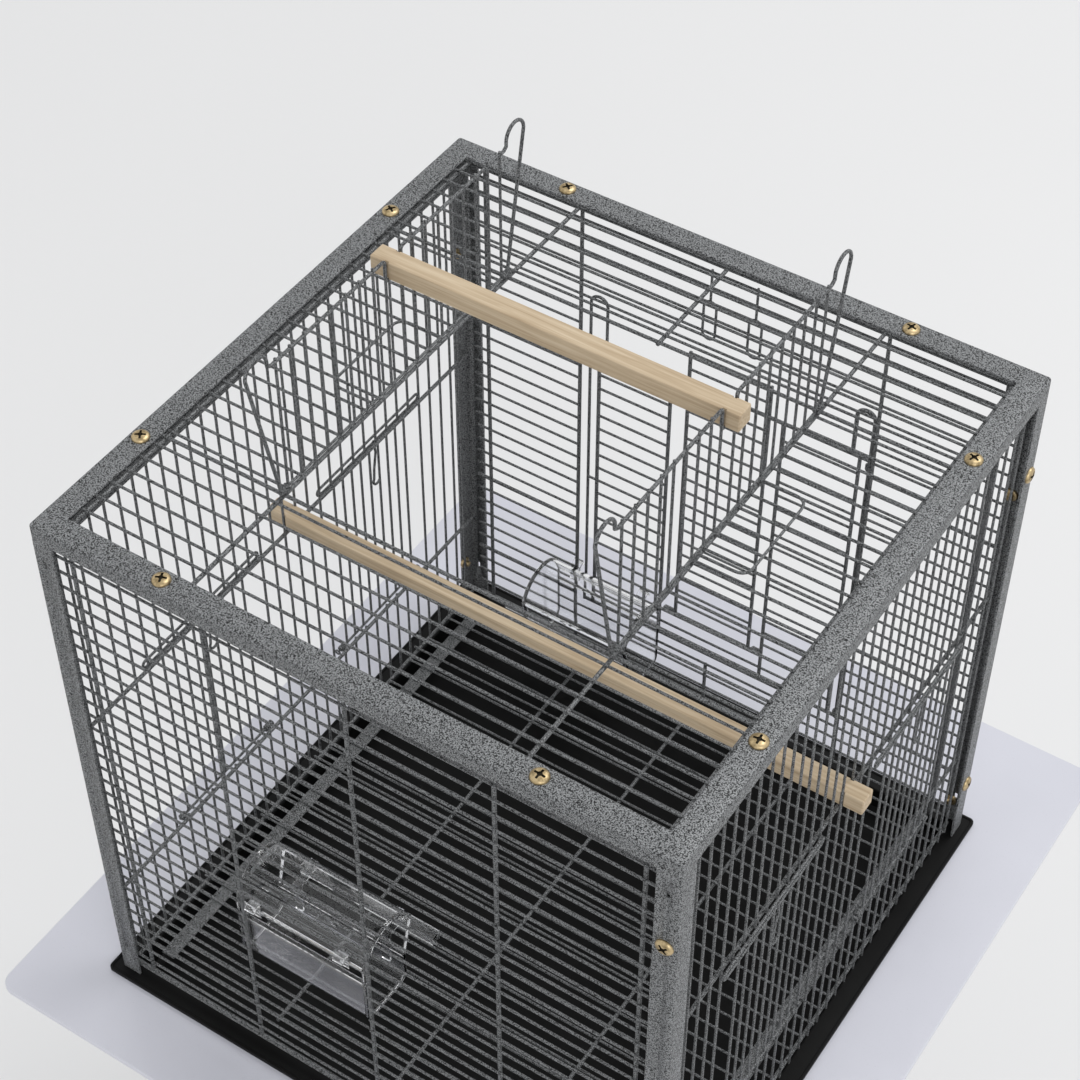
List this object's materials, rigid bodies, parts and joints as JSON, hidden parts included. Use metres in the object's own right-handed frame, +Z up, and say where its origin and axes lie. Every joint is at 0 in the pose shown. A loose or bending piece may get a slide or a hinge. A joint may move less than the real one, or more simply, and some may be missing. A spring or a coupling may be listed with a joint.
{
  "type": "bird cage on stand",
  "caption": "Square wire bird cage with an open hinged roof, wooden perches and clear feeders, standing on a square deck with a central column and base plate.",
  "frame": {"origin": "on the floor, under the middle of the deck; the cage and the column stand 20.5 mm nearer the front", "axes": "+X to the right along the front wall, +Y from the front wall to the back wall, +Z up"},
  "size_m": [0.594, 0.623, 1.1885],
  "materials": {
    "frame_paint": "silver and black hammered paint, semi-gloss",
    "brass_screw": "yellow zinc, bright",
    "perch_wood": "sanded bare softwood",
    "tray_plastic": "black, satin",
    "clear_plastic": "clear polystyrene, glossy",
    "deck_board": "pale lavender white, gloss",
    "stand_paint": "pale powder coat",
    "foot_rubber": "matte"
  },
  "bodies": {
    "stand": {"stand_deck": "deck_board", "stand_subframe": "stand_paint", "stand_top_flange": "stand_paint", "stand_column": "stand_paint", "stand_base": "stand_paint", "tray": "tray_plastic", "foot_front_left": "foot_rubber", "foot_front_right": "foot_rubber", "foot_back_right": "foot_rubber", "foot_back_left": "foot_rubber"},
    "cage": {"post_front_left": "frame_paint", "post_front_right": "frame_paint", "post_back_right": "frame_paint", "post_back_left": "frame_paint", "rail_front": "frame_paint", "rail_right": "frame_paint", "rail_back": "frame_paint", "rail_left": "frame_paint", "screw_post_front_left_high": "brass_screw", "screw_post_front_left_low": "brass_screw", "screw_post_front_right_high": "brass_screw", "screw_post_front_right_low": "brass_screw", "screw_post_back_right_high": "brass_screw", "screw_post_back_right_low": "brass_screw", "screw_post_back_left_high": "brass_screw", "screw_post_back_left_low": "brass_screw", "screw_rail_front_1": "brass_screw", "screw_rail_front_2": "brass_screw", "screw_rail_right_1": "brass_screw", "screw_rail_right_2": "brass_screw", "screw_rail_back_1": "brass_screw", "screw_rail_back_2": "brass_screw", "screw_rail_left_1": "brass_screw", "screw_rail_left_2": "brass_screw", "wall_front": "frame_paint", "wall_left": "frame_paint", "wall_right": "frame_paint", "wall_back": "frame_paint", "roof_panel": "frame_paint"},
    "floor_grate": {"floor_grate": "frame_paint"},
    "roof_flap_left": {"roof_flap_left": "frame_paint"},
    "roof_flap_right": {"roof_flap_right": "frame_paint"},
    "perch_roof": {"perch_roof": "perch_wood"},
    "perch_low": {"perch_low": "perch_wood"},
    "door_left_front": {"door_left_front": "frame_paint"},
    "door_left_back": {"door_left_back": "frame_paint"},
    "door_right_front": {"door_right_front": "frame_paint"},
    "door_right_back": {"door_right_back": "frame_paint"},
    "door_back_large": {"door_back_large": "frame_paint"},
    "door_back_small": {"door_back_small": "frame_paint"},
    "feeder_front": {"feeder_front": "clear_plastic", "feeder_front_bar": "clear_plastic"},
    "feeder_back": {"feeder_back": "clear_plastic", "feeder_back_bar": "clear_plastic"}
  },
  "joints": [
    {"name": "cage_lift", "type": "slide", "parent": "stand", "child": "cage", "axis": [0, 0, 1], "range_m": [0, 0.06]},
    {"name": "grate_lift", "type": "slide", "parent": "cage", "child": "floor_grate", "axis": [0, 0, 1], "range_m": [0, 0.012]},
    {"name": "roof_flap_left_turn", "type": "hinge", "parent": "cage", "child": "roof_flap_left", "pos_m": [-0.1185, -0.0205, 1.071], "axis": [0, 1, 0], "range_deg": [-85, 90]},
    {"name": "roof_flap_right_turn", "type": "hinge", "parent": "cage", "child": "roof_flap_right", "pos_m": [0.1185, -0.0205, 1.071], "axis": [0, -1, 0], "range_deg": [-85, 90]},
    {"name": "perch_roof_lift", "type": "slide", "parent": "cage", "child": "perch_roof", "axis": [0, 0, 1], "range_m": [0, 0.06]},
    {"name": "perch_low_lift", "type": "slide", "parent": "cage", "child": "perch_low", "axis": [0, 0, 1], "range_m": [0, 0.12]},
    {"name": "door_left_front_turn", "type": "hinge", "parent": "cage", "child": "door_left_front", "pos_m": [-0.2263, -0.0205, 0.696], "axis": [0, -1, 0], "range_deg": [0, 110]},
    {"name": "door_left_back_turn", "type": "hinge", "parent": "cage", "child": "door_left_back", "pos_m": [-0.2263, -0.0205, 0.696], "axis": [0, -1, 0], "range_deg": [0, 110]},
    {"name": "door_right_front_turn", "type": "hinge", "parent": "cage", "child": "door_right_front", "pos_m": [0.2263, -0.0205, 0.696], "axis": [0, 1, 0], "range_deg": [0, 110]},
    {"name": "door_right_back_turn", "type": "hinge", "parent": "cage", "child": "door_right_back", "pos_m": [0.2263, -0.0205, 0.696], "axis": [0, 1, 0], "range_deg": [0, 110]},
    {"name": "door_back_large_turn", "type": "hinge", "parent": "cage", "child": "door_back_large", "pos_m": [0.115, 0.2048, 0.803], "axis": [0, 0, -1], "range_deg": [0, 100]},
    {"name": "door_back_small_turn", "type": "hinge", "parent": "door_back_large", "child": "door_back_small", "pos_m": [0, 0.2076, 0.687], "axis": [-1, 0, 0], "range_deg": [0, 100]},
    {"name": "feeder_front_unhook", "type": "slide", "parent": "cage", "child": "feeder_front", "axis": [0, 1, 0], "range_m": [0, 0.05]},
    {"name": "feeder_back_unhook", "type": "slide", "parent": "cage", "child": "feeder_back", "axis": [0, -1, 0], "range_m": [0, 0.05]}
  ]
}
